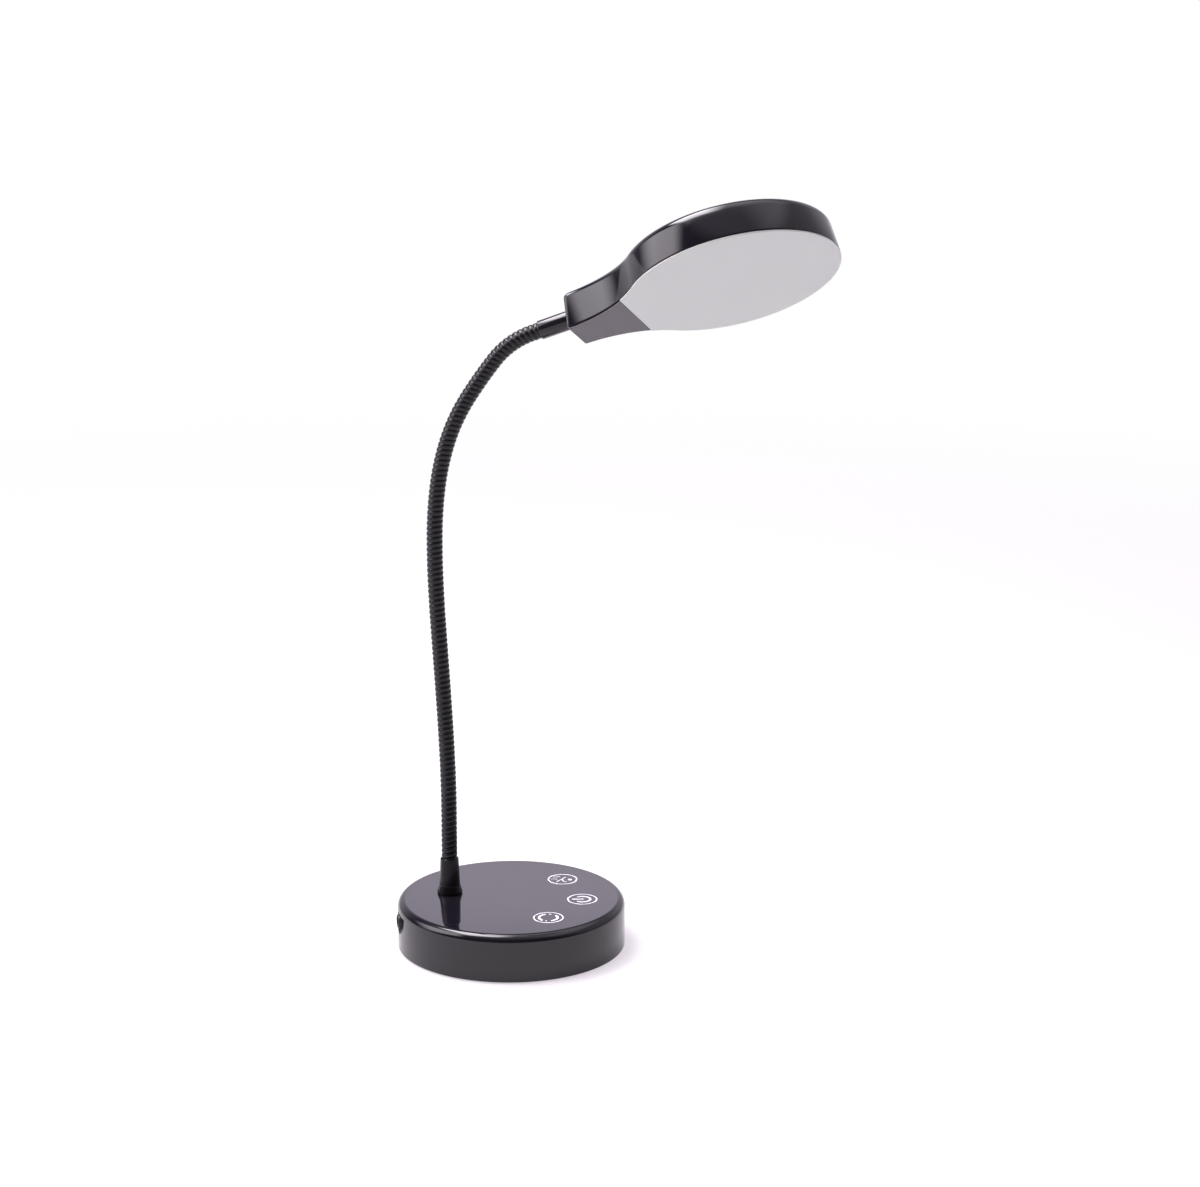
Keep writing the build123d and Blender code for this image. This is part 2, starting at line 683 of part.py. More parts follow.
with BuildPart() as clamp_screws:
    pan_screws(head_level(clamp_foot_h - screw_head_t), clamp_screw_places,
               head_axis_h - clamp_foot_h + clamp_screw_grip)
export(clamp_screws, "clamp_screws")
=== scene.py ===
# %% [markdown]
# # A gooseneck desk lamp
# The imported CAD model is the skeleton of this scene: it says where every piece is and what it turns
# with. This lesson dresses it. Hidden hard parts keep their CAD shape and get a finish. What the eye
# meets, such as the glossy shells, the wound metal neck and the printed keys, is modelled again with
# more detail.

# %% Load the frame
import json
from math import acos, asin, atan2, cos, degrees, pi, radians, sin, sqrt, tan, tau

import bmesh
import bpy
from mathutils import Matrix, Vector


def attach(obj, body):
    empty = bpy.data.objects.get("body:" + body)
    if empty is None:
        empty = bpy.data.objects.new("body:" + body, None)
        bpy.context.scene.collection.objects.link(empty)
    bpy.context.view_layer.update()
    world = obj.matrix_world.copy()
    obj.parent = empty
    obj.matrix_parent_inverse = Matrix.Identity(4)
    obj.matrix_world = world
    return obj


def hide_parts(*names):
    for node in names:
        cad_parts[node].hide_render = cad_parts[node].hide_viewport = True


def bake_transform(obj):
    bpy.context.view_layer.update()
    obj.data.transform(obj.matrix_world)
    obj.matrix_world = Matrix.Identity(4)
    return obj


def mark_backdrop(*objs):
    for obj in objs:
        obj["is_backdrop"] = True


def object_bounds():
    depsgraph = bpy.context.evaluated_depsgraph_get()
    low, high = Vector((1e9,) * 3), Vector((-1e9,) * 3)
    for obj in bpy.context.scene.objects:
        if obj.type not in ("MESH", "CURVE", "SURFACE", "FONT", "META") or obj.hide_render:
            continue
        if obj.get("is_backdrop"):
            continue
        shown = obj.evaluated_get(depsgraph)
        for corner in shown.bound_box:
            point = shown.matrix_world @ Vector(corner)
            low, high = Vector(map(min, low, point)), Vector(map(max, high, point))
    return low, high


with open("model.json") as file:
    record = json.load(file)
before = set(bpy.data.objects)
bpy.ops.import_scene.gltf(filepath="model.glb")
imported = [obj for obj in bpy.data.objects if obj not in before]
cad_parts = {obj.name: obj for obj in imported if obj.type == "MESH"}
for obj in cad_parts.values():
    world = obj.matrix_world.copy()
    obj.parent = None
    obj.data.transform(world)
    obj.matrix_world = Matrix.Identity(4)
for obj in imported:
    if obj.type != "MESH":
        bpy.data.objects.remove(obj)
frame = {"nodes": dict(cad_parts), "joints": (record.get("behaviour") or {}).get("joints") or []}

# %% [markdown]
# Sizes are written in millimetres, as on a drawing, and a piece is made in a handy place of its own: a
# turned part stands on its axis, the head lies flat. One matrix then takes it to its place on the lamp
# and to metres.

cad_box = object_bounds()
MM = 0.001
X, Y, UP = Vector((1, 0, 0)), Vector((0, 1, 0)), Vector((0, 0, 1))

base_r, base_top, rim_low = 63.5, 27.5, 0.8
stem_x, stem_h = -35.2, 20.5
disc_r, flare_r, tab_half = 58.0, 57.0, 13.7
head_t, head_wall, face_lip, seam_x, head_roll = 21.6, 2.0, 1.0, -56.0, 30
head_axis_h, sleeve_len, sleeve_r, sleeve_in_head = 10.7, 18.6, 5.2, 3.2
ridges_per_link, lip_h, hinge_above_stem = 9, 1.7, 1.0

# %% [markdown]
# ## The neck's line
# The neck is a chain of short arcs. Each joint of the frame gives a point that the line goes through,
# and the line leaves the stem upright. Two neighbouring points and the direction at the first fix the
# arc between them, so the whole line follows from the joints and nothing has to be measured twice.

# %% Follow the joints with arcs
hinges = [Vector(j["pos_m"]) / MM for j in frame["joints"][:-1]]
arcs, heading = [], 0.0
for here, there in zip(hinges, hinges[1:]):
    chord = there - here
    bend = 2 * (atan2(chord.x, chord.z) - heading)
    length = chord.length * (bend / 2 / sin(bend / 2) if abs(bend) > 1e-6 else 1)
    arcs.append((here, heading, bend, length))
    heading += bend
link_len = sum(arc[3] for arc in arcs) / len(arcs)
print("link length", round(link_len, 3), "mm, neck leaves at", round(90 - degrees(heading), 2),
      "degrees of rise")


def neck_point(along):
    """Centre, direction and sideways vector of the neck at a length from the first joint."""
    k = min(max(int(along // link_len), 0), len(arcs) - 1)
    start, turn, bend, length = arcs[k]
    run = along - k * link_len
    if along < 0 or k == len(arcs) - 1 and run > length:
        base = 0.0 if along < 0 else length
        turned = bend * base / length
        straight = run - base
    else:
        base, turned, straight = run, bend * run / length, 0.0
    chord = base * (sin(turned / 2) / (turned / 2) if abs(turned) > 1e-9 else 1)
    way = turn + turned / 2
    centre = start + chord * Vector((sin(way), 0, cos(way)))
    ahead = Vector((sin(turn + turned), 0, cos(turn + turned)))
    return centre + straight * ahead, ahead, Vector((ahead.z, 0, -ahead.x))


# %% [markdown]
# The head has its own axes: along the neck's axis to the tip, to the side, and up to its back. It is
# stored rolled by 30 degrees about the neck's axis.

# %% Place of the head
head_ahead = Vector(frame["joints"][-1]["axis"]).normalized()
level_up = Vector((-head_ahead.z, 0, head_ahead.x))
head_up = Matrix.Rotation(radians(-head_roll), 3, head_ahead) @ level_up
head_side = head_up.cross(head_ahead)
flare_y = tab_half + flare_r
flare_x = -sqrt((disc_r + flare_r) ** 2 - flare_y ** 2)
blend_angle = atan2(flare_y, flare_x)
pitch = link_len / ridges_per_link
sleeve_at = lip_h + pitch
neck_end = hinges[-1]
disc_centre = neck_end + head_ahead * (sleeve_at + sleeve_len - flare_x) - head_up * head_axis_h


def axes(origin, x_way, y_way, z_way):
    """A matrix from drawing millimetres to the lamp's metres."""
    turn = Matrix((x_way, y_way, z_way)).transposed().to_4x4()
    return Matrix.Scale(MM, 4) @ Matrix.Translation(origin) @ turn


head_place = axes(disc_centre, head_ahead, head_side, head_up)
upright = axes(Vector(), X, Y, UP)
print("disc centre", [round(v, 2) for v in disc_centre], "tab ends at", round(flare_x, 2))

# %% [markdown]
# ## Camera
# The lamp is seen from 2 m away, from a little above and over its right side, through a long lens.

# %% Aim the camera
distance, aim_h, camera_turn = 2000, 0.7, 12.5
sensor_w, focal_px, picture_px = 36, 3546.53, 1200
rise, dip, yaw = radians(20.744), radians(15.148), radians(1.52)
round_lamp = Matrix.Rotation(radians(camera_turn), 3, "Z")
seen_from = round_lamp @ Vector((0, -distance * cos(rise), distance * sin(rise)))
look = round_lamp @ Vector((sin(yaw) * cos(dip), cos(yaw) * cos(dip), -sin(dip)))
across = look.cross(UP).normalized()
camera = bpy.data.objects.new("camera", bpy.data.cameras.new("camera"))
bpy.context.scene.collection.objects.link(camera)
camera.data.sensor_width = sensor_w
camera.data.lens = sensor_w * focal_px / picture_px
camera.data.clip_end = 100
turn = Matrix((across, across.cross(look), -look)).transposed().to_4x4()
camera.matrix_world = Matrix.Translation((seen_from + Vector((0, 0, aim_h))) * MM) @ turn
bpy.context.scene.camera = camera
bpy.context.scene.view_settings.view_transform = "Standard"
print("camera at", [round(v, 3) for v in camera.matrix_world.translation])

# %% [markdown]
# ## Writing materials as sums
# A material is a graph of nodes. Written as Python expressions it reads like the idea behind it, such
# as "roughness is 0.1 plus a little of the smudges". A small class wraps a socket, and adding or
# multiplying two of them makes the Math node. Every other node comes from one method of the finish.


# %% Sockets that add up
class Wire:
    """An output socket that takes part in Python sums."""

    def __init__(self, graph, socket):
        self.graph, self.socket = graph, socket

    def _sum(self, operation, left, right):
        return self.graph.node("ShaderNodeMath", {"operation": operation}, {0: left, 1: right})

    def __add__(self, other):
        return self._sum("ADD", self, other)

    def __sub__(self, other):
        return self._sum("SUBTRACT", self, other)

    def __rsub__(self, other):
        return self._sum("SUBTRACT", other, self)

    def __mul__(self, other):
        return self._sum("MULTIPLY", self, other)

    __radd__, __rmul__ = __add__, __mul__

    def past(self, level):
        """1 where the value is over a level, else 0."""
        return self._sum("GREATER_THAN", self, level)

    def largest(self, other):
        return self._sum("MAXIMUM", self, other)


class Graph:
    """A node tree that is written with sums."""

    def __init__(self, tree):
        self.tree, self.places = tree, {}

    def feed(self, values, node):
        """Gives sockets a value or a link."""
        for key, value in values.items():
            socket = node.inputs[key]
            if isinstance(value, Wire):
                self.tree.links.new(value.socket, socket)
            elif (hasattr(socket.default_value, "__len__") and len(value) == 3
                  and len(socket.default_value) == 4):
                socket.default_value = (*value, 1)
            else:
                socket.default_value = value

    def node(self, kind, settings, sockets, out=0):
        """Makes a node: its settings first, then the values or links of its sockets."""
        made = self.tree.nodes.new(kind)
        for key, value in settings.items():
            if key == "stops":
                stops = made.color_ramp.elements
                while len(stops) < len(value):
                    stops.new(0.5)
                for stop, (at, tone) in zip(stops, value):
                    stop.position = at
                    stop.color = (*tone, 1) if hasattr(tone, "__len__") else (tone, tone, tone, 1)
            else:
                setattr(made, key, value)
        self.feed(sockets, made)
        return Wire(self, made.outputs[out])

    def ramp(self, value, *stops):
        """Turns a value into greys or colours by stops."""
        return self.node("ShaderNodeValToRGB", {"stops": stops}, {"Fac": value})

    def smooth(self, value, low, high):
        """A smooth step from 0 to 1 between two levels."""
        return self.node("ShaderNodeMapRange", {"interpolation_type": "SMOOTHSTEP"},
                         {"Value": value, "From Min": low, "From Max": high})

    def mix(self, factor, one, two):
        """Goes from one colour to another by the factor."""
        return self.node("ShaderNodeMix", {"data_type": "RGBA"}, {"Factor": factor, 6: one, 7: two}, 2)


class Finish(Graph):
    """A material round one Principled shader."""

    def __init__(self, name, color, rough, metal=0.0, ior=1.5, fixed=None):
        self.material = bpy.data.materials.new(name)
        self.material.use_nodes = True
        super().__init__(self.material.node_tree)
        self.shader = self.tree.nodes["Principled BSDF"]
        self.paint({"Base Color": (*color, 1), "Roughness": rough, "Metallic": metal, "IOR": ior})
        self.paint(fixed or {})
        self.material.diffuse_color = (*color, 1)

    def paint(self, values):
        self.feed(values, self.shader)

    def coords(self):
        """Object coordinates, in metres."""
        if "object" not in self.places:
            self.places["object"] = self.node("ShaderNodeTexCoord", {}, {}, "Object")
        return self.places["object"]

    def mapped(self, scale):
        return self.node("ShaderNodeMapping", {}, {"Vector": self.coords(), "Scale": scale})

    def noise(self, size_mm, detail=3.0, rough=0.5, where=None):
        """Soft random patches of about the given size, 0 to 1."""
        return self.node("ShaderNodeTexNoise", {}, {
            "Vector": where or self.coords(), "Scale": 1 / (size_mm * MM),
            "Detail": detail, "Roughness": rough})

    def cells(self, size_mm, where=None, out="Distance"):
        """Round cells of about the given size: the distance from their middles, or their colours."""
        return self.node("ShaderNodeTexVoronoi", {"feature": "F1"},
                         {"Vector": where or self.coords(), "Scale": 1 / (size_mm * MM)}, out)

    def bump(self, height, depth_mm, strength=1.0):
        self.paint({"Normal": self.node("ShaderNodeBump", {}, {
            "Height": height, "Distance": depth_mm * MM, "Strength": strength})})


# %% [markdown]
# ## Finishes
# The shells are moulded in black plastic polished like a mirror. Under a lens such a surface is never
# perfect: it has a very slight ripple from the mould, a few finger smudges and hair-fine dust. The
# ripple is a bump of about a hundredth of a millimetre, and the smudges change only the roughness.

# %% Glossy black shells
def glossy_black(name, color=(0.0075, 0.006, 0.0095), ripple=0.012):
    finish = Finish(name, color, 0.07)
    smudge = finish.ramp(finish.noise(22, 4, 0.6), (0.45, 0.0), (0.75, 1.0))
    dust = finish.ramp(finish.cells(3.1), (0.03, 1.0), (0.06, 0.0))
    kept = finish.noise(9, 2).past(0.56)
    finish.paint({"Roughness": 0.055 + 0.05 * smudge + 0.12 * dust * kept,
                 "Base Color": finish.mix(dust * kept * 0.35, color, (0.10, 0.095, 0.10))})
    finish.bump(finish.noise(14, 1, 0.3), ripple)
    return finish


shell_black = glossy_black("gloss_black_shell")
sleeve_black = glossy_black("lacquered_sleeve", (0.008, 0.007, 0.009), 0.006)

# %% [markdown]
# The neck is steel wire, lacquered black. The crests of the winding are smoother and rubbed a little
# shinier by hands, and the grooves stay dull. The grooves are also given a darker base colour than the
# crests: that is painted shade. A number that the mesh carries, 1 on a crest and 0 in a groove, tells
# them apart.

# %% Lacquered steel wire
hose_black = Finish("lacquered_wire", (0.007, 0.006, 0.008), 0.3, ior=1.36)
crest = hose_black.node("ShaderNodeAttribute", {"attribute_name": "crest"}, {}, "Fac")
grain = hose_black.noise(0.7, 3, 0.6)
rubbed = hose_black.noise(16, 3, 0.6).past(0.55) * crest
# painted shade: the base colour is darker in the grooves than on the crests
hose_black.paint({
    "Base Color": hose_black.mix(crest, (0.004, 0.0035, 0.0045), (0.008, 0.007, 0.009)),
    "Roughness": 0.40 - 0.20 * crest - 0.04 * rubbed + 0.08 * (grain - 0.5)})
hose_black.bump(grain, 0.02, 0.6)
collar_black = Finish("lacquered_collar", (0.005, 0.004, 0.0055), 0.25, ior=1.3)
mist = collar_black.noise(0.6, 3, 0.6)
collar_black.paint({"Roughness": 0.2 + 0.1 * mist})
collar_black.bump(mist, 0.006, 0.5)

# %% [markdown]
# The light's face is opal acrylic: pale, a little translucent, with a satin skin that blurs every
# reflection. The tab's cover is sprayed satin grey, with the fine spark-eroded texture of a moulded
# part.

# %% Opal face and satin cover
opal = Finish("opal_face", (0.525, 0.541, 0.520), 0.42, ior=1.49,
              fixed={"Subsurface Weight": 0.12, "Subsurface Scale": 0.003})
cloud = opal.noise(38, 2, 0.4)
skin = opal.noise(0.22, 2, 0.5)
opal.paint({"Base Color": opal.mix(cloud, (0.515, 0.531, 0.510), (0.535, 0.551, 0.530)),
           "Roughness": 0.38 + 0.08 * skin})
opal.bump(skin, 0.006, 0.5)


def moulded(name, color, rough, grain_mm=0.35, depth=0.012, spread=0.12):
    """Moulded plastic with a fine even texture."""
    finish = Finish(name, color, rough)
    spark = finish.noise(grain_mm, 3, 0.65)
    patch = finish.noise(18, 3, 0.5)
    lighter = tuple(min(1.0, c * (1 + spread)) for c in color)
    finish.paint({"Base Color": finish.mix(patch, color, lighter),
                  "Roughness": rough - 0.06 + 0.12 * spark})
    finish.bump(spark, depth, 0.7)
    return finish


cover_grey = moulded("satin_grey_cover", (0.135, 0.127, 0.138), 0.85, 0.3, 0.004, 0.05)
plain_black = moulded("plain_black_plastic", (0.022, 0.021, 0.023), 0.45)
reflector_white = moulded("white_reflector", (0.86, 0.86, 0.85), 0.35, 0.8, 0.006, 0.04)
ink_white = moulded("printed_white_ink", (0.74, 0.71, 0.76), 0.55, 0.15, 0.004, 0.05)

# %% [markdown]
# The pad under the base is closed-cell foam. Small round cells, some of them open, give its skin. The
# open cells are pits in the bump, and their base colour is painted darker, as painted shade.

# %% Foam
def foam(name, color, cell_mm):
    finish = Finish(name, color, 0.9)
    cell = finish.cells(cell_mm)
    pore = finish.ramp(cell, (0.1, 0.0), (0.5, 1.0))
    pit_shade_color = tuple(c * 0.4 for c in color)
    # painted shade: the base colour is darker in the pits of the open cells
    finish.paint({"Base Color": finish.mix(pore, pit_shade_color, color), "Roughness": 0.8 + 0.15 * pore})
    finish.bump(pore, 0.25, 0.8)
    return finish


pad_foam = foam("anti_slip_foam", (0.035, 0.034, 0.036), 0.9)
key_foam = foam("conductive_foam", (0.07, 0.07, 0.075), 0.6)

# %% [markdown]
# Metals: zinc-plated screws and nuts have a cold, slightly blue and patchy shine. The weight is rough
# cast iron, dark with its casting skin. The inlet's pin is nickel.

# %% Metals
def zinc(name, color=(0.62, 0.63, 0.66)):
    finish = Finish(name, color, 0.32, 1.0)
    spangle = finish.cells(1.1, None, "Color")
    brushed = finish.noise(0.5, 4, 0.7, finish.mapped((1, 1, 0.15)))
    finish.paint({"Base Color": finish.mix(0.12, color, spangle), "Roughness": 0.24 + 0.2 * brushed})
    finish.bump(brushed, 0.01, 0.5)
    return finish


zinc_steel = zinc("zinc_plated_steel")
nickel = zinc("nickel_pin", (0.66, 0.63, 0.56))
dark_steel = Finish("blackened_steel", (0.03, 0.03, 0.032), 0.4, 0.8)
oil = dark_steel.noise(1.2, 3, 0.6)
dark_steel.paint({"Roughness": 0.3 + 0.25 * oil,
                  "Base Color": dark_steel.mix(oil, (0.02, 0.02, 0.022), (0.06, 0.055, 0.05))})
iron = Finish("cast_iron", (0.10, 0.10, 0.105), 0.6, 0.6)
skin = iron.noise(1.6, 5, 0.65)
rust = iron.noise(9, 4, 0.6).past(0.62)
iron.paint({"Base Color": iron.mix(rust * 0.5, (0.10, 0.10, 0.105), (0.16, 0.075, 0.035)),
           "Roughness": 0.5 + 0.3 * skin})
iron.bump(skin, 0.25, 0.8)

# %% [markdown]
# The circuit boards carry copper tracks under their lacquer. Stepped noise, stretched along one axis at
# a time, draws tracks that run in straight lines.

# %% Circuit boards and chips
def board(name, lacquer, track, line_mm=2.2):
    finish = Finish(name, lacquer, 0.3)
    runs = finish.cells(line_mm, finish.mapped((1, 0.12, 1)))
    crossings = finish.cells(line_mm, finish.mapped((0.12, 1, 1)))
    copper = runs.past(0.42).largest(crossings.past(0.46))
    finish.paint({"Base Color": finish.mix(copper * 0.7, lacquer, track),
                  "Roughness": 0.28 + 0.12 * copper})
    finish.bump(copper, 0.03, 0.5)
    return finish


board_green = board("green_board", (0.012, 0.10, 0.035), (0.03, 0.22, 0.07))
board_white = board("white_board", (0.80, 0.80, 0.78), (0.70, 0.70, 0.68), 4.0)
chip = Finish("led_phosphor", (0.85, 0.68, 0.14), 0.4)
speck = chip.noise(0.3, 2)
chip.paint({"Base Color": chip.mix(speck, (0.80, 0.60, 0.10), (0.90, 0.76, 0.22)),
            "Roughness": 0.35 + 0.15 * speck})

# %% [markdown]
# ## Finishes for the CAD nodes
# Each hidden or simple hard part keeps its CAD mesh. Only its material slots are set.

# %% Paint the CAD nodes
node_finish = {
    "base_plate": plain_black, "anti_slip_pad": pad_foam, "ballast_weight": iron,
    "cover_screws": zinc_steel, "ballast_screws": zinc_steel, "board_screws": zinc_steel,
    "led_screws": zinc_steel, "clamp_screws": zinc_steel, "grub_screw": dark_steel,
    "touch_board": board_green, "touch_electrodes": key_foam,
    "stem_washer": zinc_steel, "stem_nut": zinc_steel, "tip_washer": zinc_steel, "tip_nut": zinc_steel,
    "led_board": board_white, "led_chips": chip, "reflector": reflector_white, "tube_clamp": plain_black,
}
for name, finish in node_finish.items():
    mesh = frame["nodes"][name].data
    mesh.materials.clear()
    mesh.materials.append(finish.material)
print("CAD nodes painted", len(node_finish))

# %% [markdown]
# ## Making pieces
# A finished bmesh goes through one door: it is taken to its place, its sharp edges are marked, and it
# gets a finish and a body to ride on, and the CAD nodes that it stands for are hidden.


# %% From a bmesh to a piece
broad_face = 1e-4  # square metres


def shade(mesh, sharp):
    """Smooth shading between faces that meet at a slight angle. A broad flat face stays quite flat."""
    mesh.shade_smooth()
    mesh.set_sharp_from_angle(angle=radians(sharp))
    for face in mesh.polygons:
        face.use_smooth = face.area < broad_face


def piece(name, bm, place, finish, body=None, stands_for=(), sharp=32):
    bm.transform(place)
    bm.normal_update()
    mesh = bpy.data.meshes.new(name)
    bm.to_mesh(mesh)
    bm.free()
    mesh.materials.append(finish.material)
    shade(mesh, sharp)
    made = bpy.data.objects.new(name, mesh)
    bpy.context.scene.collection.objects.link(made)
    if body:
        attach(made, body)
    if stands_for:
        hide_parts(*stands_for)
    print(name, len(mesh.polygons), "faces")
    return made


def apply_modifiers(made):
    """Bakes the modifiers of an object into its mesh."""
    graph = bpy.context.evaluated_depsgraph_get()
    baked = bpy.data.meshes.new_from_object(made.evaluated_get(graph), preserve_all_data_layers=True,
                                            depsgraph=graph)
    made.modifiers.clear()
    old, made.data = made.data, baked
    bpy.data.meshes.remove(old)


def cut(made, tool_bm, place, how="DIFFERENCE", sharp=32):
    """Cuts a shape out of a piece, or joins it on, with a Boolean that is applied at once."""
    tool_bm.transform(place)
    tool_mesh = bpy.data.meshes.new("tool")
    bmesh.ops.recalc_face_normals(tool_bm, faces=tool_bm.faces)
    tool_bm.to_mesh(tool_mesh)
    tool_bm.free()
    tool_mesh.materials.append(made.data.materials[0])
    tool = bpy.data.objects.new("tool", tool_mesh)
    bpy.context.scene.collection.objects.link(tool)
    boolean = made.modifiers.new("cut", "BOOLEAN")
    boolean.operation, boolean.solver, boolean.object = how, "EXACT", tool
    bpy.context.view_layer.update()
    apply_modifiers(made)
    bpy.data.objects.remove(tool)
    shade(made.data, sharp)


# %% [markdown]
# Most parts of a lamp are turned: a profile goes round an axis. The profile is a list of corners, and
# each corner may have a radius, which is what makes an edge catch the light.


# %% Profiles and turned parts
def rounded(corners, steps=5):
    """A line through corners (r, z, radius), with an arc in place of each corner that has a radius."""
    line = []
    for i, (x, z, radius) in enumerate(corners):
        here = Vector((x, z))
        if radius and 0 < i < len(corners) - 1:
            back = (Vector(corners[i - 1][:2]) - here).normalized()
            on = (Vector(corners[i + 1][:2]) - here).normalized()
            half = acos(max(-1, min(1, back.dot(on)))) / 2
            reach = radius / tan(half)
            centre = here + (back + on).normalized() * (radius / sin(half))
            first = (here + back * reach) - centre
            sweep = first.angle_signed((here + on * reach) - centre)
            for k in range(steps + 1):
                turned = sweep * k / steps
                line.append(centre + Vector((first.x * cos(turned) + first.y * sin(turned),
                                             first.y * cos(turned) - first.x * sin(turned))))
        else:
            line.append(here)
    return line


def turned_part(corners, steps=96, closed=True, arc_steps=5):
    """Spins a profile round the Z axis."""
    bm = bmesh.new()
    line = rounded(corners, arc_steps)
    verts = [bm.verts.new((p.x, 0, p.y)) for p in line]
    edges = [bm.edges.new(pair) for pair in zip(verts, verts[1:])]
    if closed:
        edges.append(bm.edges.new((verts[-1], verts[0])))
    bmesh.ops.spin(bm, geom=verts + edges, cent=(0, 0, 0), axis=(0, 0, 1), angle=tau, steps=steps,
                   use_merge=True)
    bmesh.ops.remove_doubles(bm, verts=bm.verts, dist=1e-4)
    bmesh.ops.recalc_face_normals(bm, faces=bm.faces)
    return bm


# %% [markdown]
# ## Base
# The base's cover is one shell: a flat top, a rounded edge and a low wall. It is turned with its
# inside, so that it has a real wall. At the back a half-round scoop lets the supply plug in. A half
# cone is joined on for the scoop's own wall, and a smaller half cone cuts the scoop.

# %% Cover of the base
wall = 2.2
cover = piece("base_shell", turned_part([
    (0, base_top, 0), (base_r, base_top, 4.5), (base_r, rim_low, 0.3), (base_r - wall, rim_low, 0.2),
    (base_r - wall, base_top - wall, 2.0), (0, base_top - wall, 0)], 256, closed=False, arc_steps=12),
    upright, shell_black, "base", ["base_cover"])

inlet_angle = radians(-157)
inlet_way = Vector((cos(inlet_angle), sin(inlet_angle), 0))
inlet_side = UP.cross(inlet_way)


def half_cone(inner_r, outer_r, start, end, top):
    """Half a cone under a level, along the inlet's axis."""
    bm = bmesh.new()
    bmesh.ops.create_cone(bm, cap_ends=True, segments=64, radius1=inner_r, radius2=outer_r,
                          depth=end - start)
    bmesh.ops.translate(bm, verts=bm.verts, vec=(0, 0, (start + end) / 2))
    cut_edge = bmesh.ops.bisect_plane(bm, geom=bm.verts[:] + bm.edges[:] + bm.faces[:], plane_co=(0, 0, 0),
                                      plane_no=(0, 1, 0), clear_outer=True)["geom_cut"]
    bmesh.ops.contextual_create(bm, geom=[g for g in cut_edge if isinstance(g, bmesh.types.BMEdge)])
    return bm, axes(Vector((0, 0, top)), inlet_side, UP, inlet_way)


scoop_in, scoop_top = base_r - 4.5, 22.2
scoop_r, pocket_r, mouth_r, pocket_roof = 7.0, 8.3, 12.6, 1.4
cut(cover, *half_cone(pocket_r, mouth_r, scoop_in - wall, base_r - 1.2, scoop_top + pocket_roof), how="UNION")
cut(cover, *half_cone(scoop_r, mouth_r, scoop_in, base_r + 0.5, scoop_top))

# %% [markdown]
# The supply inlet is a barrel socket: a plastic nose with a bore and a metal pin in its middle, and a
# rounded box behind it.

# %% Supply inlet
inlet_h, nose_r, bore_r, pin_r, bore_deep = 17.6, 4.0, 3.2, 1.05, 9.5
box_size = (9.5, 10.0, 12.0)
inlet_place = axes(Vector((0, 0, inlet_h)), inlet_side, UP, inlet_way)
nose_end, box_end = base_r + 0.9, scoop_in - wall
socket = turned_part([
    (0, nose_end - bore_deep, 0), (bore_r, nose_end - bore_deep, 0), (bore_r, nose_end, 0.3),
    (nose_r, nose_end, 0.4), (nose_r, box_end, 0), (0, box_end - 4, 0)], 64, closed=False)
box = bmesh.ops.create_cube(socket, size=1)["verts"]
bmesh.ops.scale(socket, vec=box_size, verts=box)
bmesh.ops.translate(socket, vec=(0, 0, box_end - box_size[2] / 2), verts=box)
box_edges = {e for v in box for e in v.link_edges}
bmesh.ops.bevel(socket, geom=list(box_edges), offset=0.4, offset_type="OFFSET", segments=2, profile=0.5,
                affect="EDGES", material=-1)
piece("inlet_socket", socket, inlet_place, plain_black, "base", ["dc_inlet"])
pin_foot, pin_tip = nose_end - bore_deep - 0.1, nose_end - 1.0
piece("inlet_pin", turned_part([
    (0, pin_foot, 0), (pin_r, pin_foot, 0), (pin_r, pin_tip, 0.5), (0, pin_tip, 0)],
    32, closed=False), inlet_place, nickel, "base")

# %% [markdown]
# ## Stem
# The stem is a short lacquered collar that flares out to the base. Its profile is a slow curve, so it
# has a few more corners with large radii.

# %% Collar of the stem
hose_bore, tube_bore, tube_top = 4.6, 4.1, 14.4
stem_place = axes(Vector((stem_x, 0, base_top)), X, Y, UP)
piece("stem_collar", turned_part([
    (tube_bore, 0, 0), (6.9, 0, 0.15), (7.05, 1.0, 0.6), (5.75, 5.0, 6.0), (5.1, stem_h, 0.35),
    (hose_bore, stem_h, 0.1), (hose_bore, tube_top, 0), (tube_bore, tube_top, 0)], 128),
    stem_place, collar_black, "base", ["stem_sleeve"])

# %% [markdown]
# ## The wound neck
# A gooseneck is a spring of round wire with a second wire of triangular section pressed into its gap.
# What one sees is a helix of low rounded ridges, about 3 mm apart. A screw thread is made in the same
# way: a profile one pitch tall is spun round the axis while it climbs, so that each turn ends where the
# next one starts. The straight piece is cut flat at both ends, closed, and bent along the neck's line.


# %% Wind a helix
def wound_tube(ridge, start, end, turn_steps=28):
    """A tube wound from a profile (share of the pitch, radius), cut flat at two heights."""
    step = ridge["pitch"]
    turns = int((end - start) / step) + 3
    bm = bmesh.new()
    low = start - 1.5 * step
    verts = [bm.verts.new((r, 0, low + share * step)) for share, r in ridge["profile"]]
    edges = [bm.edges.new(pair) for pair in zip(verts, verts[1:])]
    bmesh.ops.spin(bm, geom=verts + edges, cent=(0, 0, 0), axis=(0, 0, 1), dvec=(0, 0, step / turn_steps),
                   angle=tau * turns, steps=turn_steps * turns, use_merge=False)
    bmesh.ops.remove_doubles(bm, verts=bm.verts, dist=1e-3)
    for height, way in ((start, -1), (end, 1)):
        bmesh.ops.bisect_plane(bm, geom=bm.verts[:] + bm.edges[:] + bm.faces[:], plane_co=(0, 0, height),
                               plane_no=(0, 0, way), clear_outer=True)
    bmesh.ops.holes_fill(bm, edges=[e for e in bm.edges if e.is_boundary], sides=0)
    bmesh.ops.recalc_face_normals(bm, faces=bm.faces)
    return bm


wire = {"pitch": pitch, "profile": [(0.0, 4.02), (0.10, 4.10), (0.20, 4.32), (0.35, 4.45), (0.55, 4.50),
                                    (0.75, 4.45), (0.90, 4.30), (1.0, 4.02)]}
groove_r, ridge_h = 4.1, 0.3


